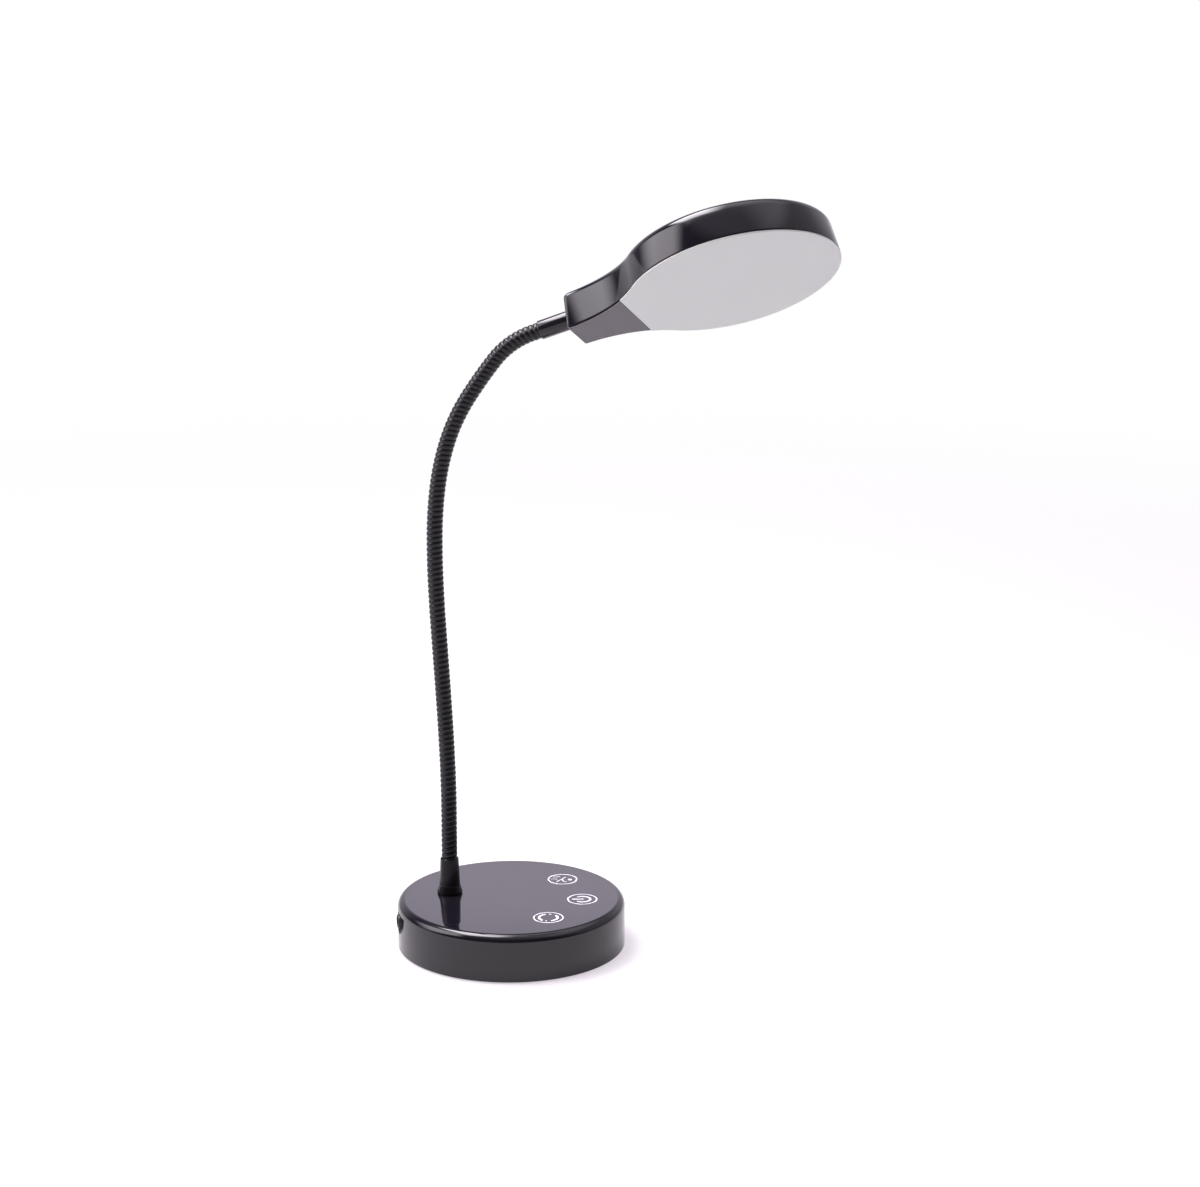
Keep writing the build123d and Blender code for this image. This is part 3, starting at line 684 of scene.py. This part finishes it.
def along_neck(bm, middle):
    """Marks crests and grooves, then bends a straight tube along the neck's line."""
    layer = bm.verts.layers.float.new("crest")
    for v in bm.verts:
        v[layer] = max(0.0, min(1.0, (Vector((v.co.x, v.co.y)).length - groove_r) / ridge_h))
        centre, ahead, down = neck_point(middle + v.co.z)
        v.co = centre + down * v.co.x + Y * v.co.y
    return bm


hose_in_collar, hose_in_sleeve, first_reach = 6.1, 3.0, 6.0
hose_low = -hinge_above_stem - hose_in_collar
hose_high = len(arcs) * link_len + sleeve_at + hose_in_sleeve
for k, hinge in enumerate(hinges):
    middle = k * link_len
    low = hose_low - middle if k == 0 else -link_len / 2
    high = hose_high - middle if k == len(hinges) - 1 else link_len / 2
    run = piece(f"hose_{k + 1:02d}", along_neck(wound_tube(wire, low, high), middle),
                Matrix.Scale(MM, 4), hose_black, sharp=80)
    reach = link_len / 2 if k else first_reach
    _, ahead, _ = neck_point(middle)
    (hinge - ahead * reach) * MM
    (hinge + ahead * reach) * MM
    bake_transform(run)
    if k < len(arcs):
        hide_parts(f"neck_link_{k + 1:02d}")

# %% [markdown]
# At each end of the hose a threaded tube is fixed: one is clamped under the base's top, the other
# carries the head. Their M8 threads are wound with the same helper.

# %% Threaded tubes
thread = {"pitch": 1.0, "profile": [(0.0, 3.5), (0.45, 4.0), (0.55, 4.0), (1.0, 3.5)]}
thread_steps, tube_below, tip_start = 20, 11.0, 4.9
clamp_gap, clamp_w, washer_t, nut_h, past_nut = 0.2, 8.0, 1.0, 3.5, 1.6
tip_end = sleeve_len + sleeve_in_head + clamp_gap + clamp_w + washer_t + nut_h + past_nut
piece("foot_tube", wound_tube(thread, -tube_below, tube_top, thread_steps), stem_place, zinc_steel,
      "base", ["neck_root"], sharp=25)
tip_turn = axes(neck_end + head_ahead * sleeve_at, Vector((head_ahead.z, 0, -head_ahead.x)), Y, head_ahead)
piece("tip_tube", wound_tube(thread, tip_start, tip_end, thread_steps), tip_turn, zinc_steel,
      "neck_end", ["neck_tip"], sharp=25)

# %% [markdown]
# The sleeve between hose and head is a smooth lacquered tube with softened ends. A set screw holds it,
# in a hole of its lower side.

# %% Sleeve at the head
sleeve_end = sleeve_len + sleeve_in_head
sleeve = piece("neck_sleeve", turned_part([
    (hose_bore, 0, 0.1), (sleeve_r, 0, 0.6), (sleeve_r, sleeve_end, 0.3), (tube_bore, sleeve_end, 0),
    (tube_bore, tip_start, 0), (hose_bore, tip_start, 0)], 128),
    tip_turn, sleeve_black, "neck_end", ["head_sleeve"])
screw_angle, screw_along, screw_out = 24, 7.0, 5.6
screw_way = Matrix.Rotation(radians(screw_angle), 3, head_ahead) @ -Y
screw_hole = bmesh.new()
bmesh.ops.create_cone(screw_hole, cap_ends=True, segments=48, radius1=1.3, radius2=1.42, depth=4.0)
screw_at = neck_end + head_ahead * (sleeve_at + screw_along) + screw_way * screw_out
cut(sleeve, screw_hole, axes(screw_at, head_ahead, screw_way.cross(head_ahead), screw_way))

# %% [markdown]
# ## Head
# The head is a disc with a short tab, blended by two hollow arcs. A single vertex, swept round the
# arcs' centres, draws half of the outline, and a mirror makes the other half. The tab's corners are
# small arcs that touch the hollow ones, so their centres lie on the line between the two.


# %% Outline of the head
def head_outline(inset, corner, steps=110):
    """The head's outline as one face, moved inwards by an inset, with the tab's corners rounded."""
    bm = bmesh.new()

    def sweep(vert, centre, angle, count):
        made = bmesh.ops.spin(bm, geom=[vert], cent=(*centre, 0), axis=(0, 0, 1), angle=angle, steps=count)
        return [g for g in made["geom_last"] if isinstance(g, bmesh.types.BMVert)][0]

    hollow = flare_r + inset
    slip = asin((inset + corner) / (hollow + corner))
    vert = sweep(bm.verts.new((disc_r - inset, 0, 0)), (0, 0), blend_angle, steps)
    vert = sweep(vert, (flare_x, flare_y), pi / 2 + slip - blend_angle, steps // 2)
    corner_y = flare_y - (hollow + corner) * cos(slip)
    vert = sweep(vert, (flare_x + inset + corner, corner_y), pi / 2 - slip, 6)
    end = bm.verts.new((flare_x + inset, 0, 0))
    bm.edges.new((vert, end))
    bmesh.ops.mirror(bm, geom=bm.verts[:] + bm.edges[:], matrix=Matrix(), merge_dist=1e-4, axis="Y")
    bmesh.ops.remove_doubles(bm, verts=bm.verts, dist=1e-4)
    bmesh.ops.contextual_create(bm, geom=bm.edges[:])
    bmesh.ops.recalc_face_normals(bm, faces=bm.faces)
    return bm


tab_corner = 1.2
sample = head_outline(0.0, tab_corner)
print("outline", len(sample.verts), "points,", len(sample.faces), "face")
for letter, places in (("x", [v.co.x for v in sample.verts]), ("y", [v.co.y for v in sample.verts])):
    print(letter, "from", round(min(places), 2), "to", round(max(places), 2))
sample.free()

# %% [markdown]
# The wall then rises from the outline ring by ring. Two outlines, one on the wall and one a little
# further in, give each point its own way inwards. Every ring is the last one extruded and moved along
# those ways, which gives the draft of the mould and the rounded edge, wide round the disc and tighter
# at the tab.

# %% Rings that rise from the outline
wall_tilt = radians(4)
wall_share = 0.2


def ramped(x, low, high):
    """A smooth step from 0 to 1 between two places."""
    share = max(0.0, min(1.0, (x - low) / (high - low)))
    return share * share * (3 - 2 * share)


def shell_ring(x, step):
    """Inset and height of the housing's wall at a place along the head.

    Step 0 is the rim, wall_share the end of the straight wall and 1 the top. Inside, steps are negative.
    """
    top, wall = head_t, 0.0
    round_r = 3.6 + 2.4 * ramped(x, -88, -40)
    if step < 0:
        wall, step = head_wall, -step
        top, round_r = head_t - wall, round_r - wall
    centre_z = top - round_r
    centre_in = (centre_z + round_r * sin(wall_tilt) - face_lip) * tan(wall_tilt) + round_r * cos(wall_tilt)
    if step < wall_share:
        share = step / wall_share
        z = face_lip + share * (centre_z + round_r * sin(wall_tilt) - face_lip)
        return wall + (z - face_lip) * tan(wall_tilt), z
    turned = wall_tilt + (step - wall_share) / (1 - wall_share) * (pi / 2 - wall_tilt)
    return wall + centre_in - round_r * cos(turned), centre_z + round_r * sin(turned)


def rings(bm, steps, ring, deep_corner=3.4, deep=6.0):
    """Extrudes the outline's face through a row of rings."""
    inner = head_outline(deep, deep_corner)
    base = [v.co.copy() for v in bm.verts]
    ways = [(b.co - a) / deep for a, b in zip(base, inner.verts)]
    inner.free()
    face = bm.faces[:][0]
    order = [v.index for v in face.verts]
    for number, step in enumerate(steps):
        if number:
            face = bmesh.ops.extrude_discrete_faces(bm, faces=[face])["faces"][0]
        for vert, index in zip(face.verts, order):
            inset, z = ring(base[index].x, step)
            vert.co = base[index] + ways[index] * inset + Vector((0, 0, z))
    return face


# %% [markdown]
# The housing is one hollow moulding. The rings start at the ceiling inside, run down the inner wall,
# turn round the rim and rise outside to the flat top. Posts for the board and a saddle for the tube
# stand inside, and the sleeve goes in through a hole in the tab's end.

# %% Housing
shell = head_outline(0.0, tab_corner)
down = [-1.0, -0.86, -0.72, -0.58, -0.44, -0.3, -0.2, -0.001]
up = [0.0, 0.002, 0.004] + [wall_share + 0.8 * k / 14 for k in range(15)]
rim_gap, rim_round = 0.25, 0.25
rim_steps = {-0.001: (0.0, 0.0), 0.0: (1.0, 0.0), 0.002: (0.3, 0.3), 0.004: (0.0, 1.0)}


def housing_ring(x, step):
    """The wall's rings, with the rim a little short of the light's face and its edge rounded."""
    inset, z = shell_ring(x, step)
    if step in rim_steps:
        back, rise = rim_steps[step]
        return inset + back * rim_round, z + rim_gap + rise * rim_round
    return inset, z


rings(shell, down + up, housing_ring)
bmesh.ops.recalc_face_normals(shell, faces=shell.faces)
housing = piece("head_shell", shell, head_place, shell_black, "head", ["head_housing"])

root = head_t - head_wall + 1
post_r, post_at, post_low = 3.0, 41, 15.1
saddle_x, saddle_w = -83.3, 20
posts = bmesh.new()
for angle in (60, 180, 300):
    post = bmesh.ops.create_cone(posts, cap_ends=True, segments=32, radius1=post_r, radius2=post_r,
                                 depth=root - post_low)["verts"]
    bmesh.ops.translate(posts, verts=post, vec=(
        post_at * cos(radians(angle)), post_at * sin(radians(angle)), (root + post_low) / 2))
saddle = bmesh.ops.create_cube(posts, size=1)["verts"]
bmesh.ops.scale(posts, verts=saddle, vec=(clamp_w, saddle_w, root - head_axis_h))
bmesh.ops.translate(posts, verts=saddle, vec=(saddle_x, 0, (root + head_axis_h) / 2))
cut(housing, posts, head_place, "UNION")

bores = bmesh.new()
for radius, middle, length in ((5.3, flare_x, 8), (tube_bore, saddle_x, 16)):
    bore = bmesh.ops.create_cone(bores, cap_ends=True, segments=96, radius1=radius, radius2=radius,
                                 depth=length)["verts"]
    bmesh.ops.rotate(bores, verts=bore, cent=(0, 0, 0), matrix=Matrix.Rotation(pi / 2, 3, "Y"))
    bmesh.ops.translate(bores, verts=bore, vec=(middle, 0, head_axis_h))
cut(housing, bores, head_place)
print("housing", len(housing.data.polygons), "faces")

# %% [markdown]
# The light's face and the tab's cover close the head from the front. Both are cut from the same
# outline, with a parting line between them, and their rims are rounded by a few small insets.


# %% Face and cover
plate_t, plate_corner = 0.75, 1.0
rib_inset, rib_low, rib_t = 2.2, 0.6, 1.6


def front_plate(inset, low_x, high_x, edge):
    """A plate cut from the head's outline, rounded at its front edge."""
    bm = head_outline(inset, plate_corner)
    bmesh.ops.translate(bm, verts=bm.verts, vec=(0, 0, plate_t))
    face = bm.faces[:][0]
    if face.normal.z > 0:
        face.normal_flip()
    face = bmesh.ops.extrude_discrete_faces(bm, faces=[face])["faces"][0]
    bmesh.ops.translate(bm, verts=face.verts, vec=(0, 0, edge - plate_t))
    for k in range(4):
        near, far = radians(90 * k / 4), radians(90 * (k + 1) / 4)
        bmesh.ops.inset_individual(bm, faces=[face], thickness=edge * (cos(near) - cos(far)),
                                   depth=edge * (sin(far) - sin(near)), use_even_offset=True)
    bmesh.ops.holes_fill(bm, edges=[e for e in bm.edges if e.is_boundary])
    for level, way in ((low_x, -1), (high_x, 1)):
        if level is not None:
            seam = bmesh.ops.bisect_plane(bm, geom=bm.verts[:] + bm.edges[:] + bm.faces[:], dist=1e-4,
                                          plane_co=(level, 0, 0), plane_no=(way, 0, 0),
                                          clear_outer=True)["geom_cut"]
            bmesh.ops.contextual_create(bm, geom=[g for g in seam if isinstance(g, bmesh.types.BMEdge)])
    bmesh.ops.recalc_face_normals(bm, faces=bm.faces)
    return bm


def add_spigot(bm, low_x, high_x):
    """A thin rib that locates the plate inside the housing's wall."""
    rib = head_outline(rib_inset, plate_corner)
    for level, way in ((low_x, -1), (high_x, 1)):
        if level is not None:
            bmesh.ops.bisect_plane(rib, geom=rib.verts[:] + rib.edges[:] + rib.faces[:], dist=1e-4,
                                   plane_co=(level, 0, 0), plane_no=(way, 0, 0), clear_outer=True)
    bmesh.ops.translate(rib, verts=rib.verts, vec=(0, 0, rib_low))
    ring = bmesh.ops.inset_region(rib, faces=rib.faces[:], thickness=rib_t, use_even_offset=True,
                                  use_boundary=True)["faces"]
    bmesh.ops.delete(rib, geom=[f for f in rib.faces if f not in ring], context="FACES")
    bmesh.ops.solidify(rib, geom=rib.faces[:], thickness=-rib_t)
    bmesh.ops.recalc_face_normals(rib, faces=rib.faces)
    mesh = bpy.data.meshes.new("rib")
    rib.to_mesh(mesh)
    rib.free()
    bm.from_mesh(mesh)
    bpy.data.meshes.remove(mesh)
    return bm


half_gap = 0.15
for name, span, inset, edge, finish, node, slot in (
        ("light_face", (seam_x + half_gap, None), 0.05, 0.35, opal, "diffuser", "frosted_diffuser"),
        ("tab_plate", (None, seam_x - half_gap), 0.8, 0.25, cover_grey, "tab_cover", "satin_grey_abs")):
    plate = add_spigot(front_plate(inset, *span, edge), *span)
    piece(name, plate, head_place, finish, "head", [node])

# %% [markdown]
# ## Printed keys
# Three touch keys are printed in white on the base's top. The ink is a film of a few hundredths of a
# millimetre. Each stroke is a narrow rectangle swept round a centre, or a straight bar.

# %% Key prints
ink_h, ring_r, ring_w, keys_at = 0.04, 8.05, 0.8, 40


def stroke(bm, centre, radius, start, sweep, width):
    """A curved stroke of ink."""
    closed = abs(sweep) >= 360
    way = Vector((cos(radians(start)), sin(radians(start)), 0))
    corners = [way * (radius + side) + Vector((0, 0, h)) for side, h in
               ((-width / 2, 0), (width / 2, 0), (width / 2, ink_h), (-width / 2, ink_h))]
    verts = [bm.verts.new(Vector((*centre, 0)) + c) for c in corners]
    face = bm.faces.new(verts)
    count = max(4, int(abs(sweep) / 6))
    geom = verts + list(face.edges) if closed else verts + list(face.edges) + [face]
    bmesh.ops.spin(bm, geom=geom, cent=(*centre, 0), axis=(0, 0, 1), angle=radians(sweep), steps=count,
                   use_merge=closed)
    if closed:
        bmesh.ops.delete(bm, geom=[face], context="FACES_ONLY")


def dot(bm, centre, radius):
    """A round dot of ink."""
    made = bmesh.ops.create_cone(bm, cap_ends=True, segments=24, radius1=radius, radius2=radius,
                                 depth=ink_h)["verts"]
    bmesh.ops.translate(bm, verts=made, vec=(*centre, ink_h / 2))


def bar(bm, start, end, width):
    """A straight bar of ink."""
    start, end = Vector((*start, 0)), Vector((*end, 0))
    made = bmesh.ops.create_cube(bm, size=1)["verts"]
    bmesh.ops.scale(bm, verts=made, vec=((end - start).length, width, ink_h))
    turn = Matrix.Rotation(atan2((end - start).y, (end - start).x), 3, "Z")
    bmesh.ops.rotate(bm, verts=made, cent=(0, 0, 0), matrix=turn)
    bmesh.ops.translate(bm, verts=made, vec=(start + end) / 2 + Vector((0, 0, ink_h / 2)))


def key_print(name, angle, draw):
    """Prints one key: a ring, and its own sign inside."""
    bm = bmesh.new()
    stroke(bm, (0, 0), ring_r, 0, 360, ring_w)
    draw(bm)
    bmesh.ops.remove_doubles(bm, verts=bm.verts, dist=1e-4)
    bmesh.ops.recalc_face_normals(bm, faces=bm.faces)
    at = Vector((keys_at * cos(radians(angle)), keys_at * sin(radians(angle)), base_top))
    piece(name, bm, axes(at, print_x, UP.cross(print_x), UP), ink_white, "base")


def draw_power(bm):
    stroke(bm, (0.1, 0), 4.35, -133, 266, 1.3)
    bar(bm, (-5.8, 0), (0.8, 0), 1.3)


def draw_tone(bm):
    stroke(bm, (4.2, -0.6), 4.4, 118, 128, 0.7)
    dot(bm, (4.2, -0.6), 1.3)
    bar(bm, (-6.4, 0.2), (-3.0, 0.3), 0.7)
    bar(bm, (-3.4, -3.9), (-0.4, -0.2), 0.8)
    bar(bm, (-5.6, 3.6), (-1.4, 4.4), 0.6)


def draw_level(bm):
    stroke(bm, (0, 0), 5.15, 108, 126, 1.4)
    stroke(bm, (0, 0), 5.15, -73, 114, 1.4)
    dot(bm, (0.9, 5.2), 0.7)
    dot(bm, (-1.1, -5.2), 0.5)


print_turn = radians(11)
print_x = Vector((cos(print_turn), sin(print_turn), 0))
key_turn, key_angle = 4.4, 51.4
key_print("key_power", key_turn, draw_power)
key_print("key_tone", key_turn + key_angle, draw_tone)
key_print("key_level", key_turn - key_angle, draw_level)

# %% [markdown]
# ## Studio
# A glossy black thing shows its surroundings rather than itself. Here a pale floor lights the walls
# from below and fades into a white background. The room is dark in front and bright behind. The main
# soft box hangs overhead, a little to the left, and a weaker sheet beside it softens one of its edges.
# A faint sheet stands behind the lamp, and one that leans over at the left is mirrored in the head's
# wall. The floor is lit from inside, like a light table, so that the lamp leaves only a faint shadow.

# %% Floor
floor_white = Finish("pale_floor", (0.38, 0.38, 0.38), 0.9, fixed={
    "Specular IOR Level": 0.0, "Emission Color": (1.0, 0.93, 1.0, 1), "Emission Strength": 0.57})
from_middle = floor_white.node("ShaderNodeVectorMath", {"operation": "LENGTH"},
                               {0: floor_white.coords()}, "Value")
floor_white.paint({"Alpha": 1 - floor_white.smooth(from_middle, 0.5, 1.5)})
floor_mesh = bmesh.new()
bmesh.ops.create_circle(floor_mesh, cap_ends=True, segments=96, radius=1.6)
floor = piece("floor", floor_mesh, Matrix(), floor_white)

# %% [markdown]
# Four soft boxes hang near the lamp. Each is a thin glowing sheet whose light fades towards its edges,
# and its level is its brightness in a mirror, so that each highlight can be set by itself. A place
# round the lamp is named by its direction from the camera's side.

# %% Soft boxes
def toward(azimuth, rise):
    """A direction seen from the lamp: azimuth from the camera's side, negative to its left, and rise."""
    angle = radians(azimuth + camera_turn - 90)
    return Vector((cos(angle) * cos(radians(rise)), sin(angle) * cos(radians(rise)), sin(radians(rise))))


def soft_box(name, middle, across_way, up_way, across, up, glow, color=(0.98, 0.93, 1.0)):
    """A glowing sheet. Its light starts, is full, stops being full and ends at four distances each way."""
    light = Finish(name + "_sheet", (0, 0, 0), 1.0, fixed={
        "Specular IOR Level": 0.0, "Emission Color": (*color, 1), "Emission Strength": glow})
    place = light.node("ShaderNodeSeparateXYZ", {}, {0: light.node("ShaderNodeTexCoord", {}, {}, "UV")})
    share = 1
    for out, (start, full, last, end) in zip((0, 1), (across, up)):
        at = Wire(light, place.socket.node.outputs[out]) * (end - start) + start
        share = light.smooth(at, start, full) * (1 - light.smooth(at, last, end)) * share
    light.paint({"Alpha": share})
    bm = bmesh.new()
    bm.loops.layers.uv.new("UVMap")
    bmesh.ops.create_grid(bm, x_segments=1, y_segments=1, size=0.5, calc_uvs=True)
    bmesh.ops.scale(bm, verts=bm.verts, vec=(across[3] - across[0], up[3] - up[0], 1))
    bmesh.ops.translate(bm, verts=bm.verts, vec=((across[3] + across[0]) / 2, (up[3] + up[0]) / 2, 0))
    turn = Matrix((across_way, up_way, across_way.cross(up_way))).transposed()
    made = piece(name, bm, Matrix.Translation(middle) @ turn.to_4x4(), light)
    made.visible_camera = False
    return made


front, right = toward(0, 0), toward(90, 0)
overhead = front * -0.26 - right * 0.343
high_box = soft_box("high_box", overhead + UP * 1.10, front, right,
                    (-0.42, -0.26, 0.28, 0.64), (-0.36, -0.16, 0.14, 0.40), 15.5)
high_rim = soft_box("high_rim", overhead + UP * 1.15, front, right,
                    (-0.5, -0.1, 0.15, 0.70), (-0.1, 0.25, 0.5, 0.9), 2.0)
rear_box = soft_box("rear_box", front * -1.5, right, UP,
                    (-0.45, -0.05, 0.12, 0.55), (0.2, 0.66, 0.75, 0.98), 1.5, color=(0.91, 0.84, 1.0))
head_middle = Vector((0.071, -0.032, 0.387))
left_way = toward(-91, 23.5)
level_way = UP.cross(left_way).normalized()
lean = Matrix.Rotation(radians(41), 3, left_way)
left_box = soft_box("left_box", head_middle + left_way * 0.95,
                    lean @ level_way, lean @ left_way.cross(level_way),
                    (-0.66, -0.13, 0.21, 0.49), (-0.62, -0.34, 0.14, 0.36), 4.7)
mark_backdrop(floor, high_box, high_rim, rear_box, left_box)

# %% [markdown]
# The room itself is dark in front and at the left, lighter above and at the right, and bright behind
# and below.

# %% Room
world = bpy.data.worlds.new("room")
bpy.context.scene.world = world
world.use_nodes = True
room = Graph(world.node_tree)
way = room.node("ShaderNodeTexCoord", {}, {}, "Generated")
rise = room.node("ShaderNodeSeparateXYZ", {}, {0: way}, 2)


def along(direction):
    """How far the looked-at direction goes along another."""
    return room.node("ShaderNodeVectorMath", {"operation": "DOT_PRODUCT"},
                     {0: way, 1: tuple(direction)}, "Value")


behind = room.smooth(along(-front), 0.4, 0.95) * (1 - room.smooth(rise, 0.3, 0.7))
lighter_side = room.smooth(along(toward(105, 40)), 0.6, 0.95)
above = room.smooth(rise, 0.62, 0.80) * (0.46 + 0.4 * lighter_side)
below = 1 - room.smooth(rise, -0.03, 0.0)
level = 0.07 + 0.5 * lighter_side + above + 0.75 * behind * (1 - below) + 0.95 * below

# %% [markdown]
# The background itself is pure white. The camera sees it everywhere. Where something mirrors what lies
# below the floor's level, white is mixed in by half.

# %% Background
lit = room.node("ShaderNodeMix", {"data_type": "RGBA", "blend_type": "MULTIPLY"},
                {"Factor": 1.0, 6: room.node("ShaderNodeCombineXYZ", {}, {0: level, 1: level, 2: level}),
                 7: (0.97, 0.92, 1.03)}, 2)
seen, mirrored, through = [room.node("ShaderNodeLightPath", {}, {}, kind) for kind in (
    "Is Camera Ray", "Is Glossy Ray", "Is Transmission Ray")]
backdrop = below * 0.5
white_part = seen + (mirrored + through) * backdrop
background = room.tree.nodes["Background"]
room.feed({"Color": room.mix(white_part, lit, (1, 1, 1))}, background)

# %% [markdown]
# ## Last look at the sizes
# The box round the finished pieces has to stay inside the box of the CAD model.

# %% Measure and finish
shown_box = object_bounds()
sizes = {name: [list(map(float, corner)) for corner in box] for name, box in
         (("cad", cad_box), ("visual", shown_box))}
for name, (low, high) in sizes.items():
    print(name, [round(v * 1000, 2) for v in low], [round(v * 1000, 2) for v in high])
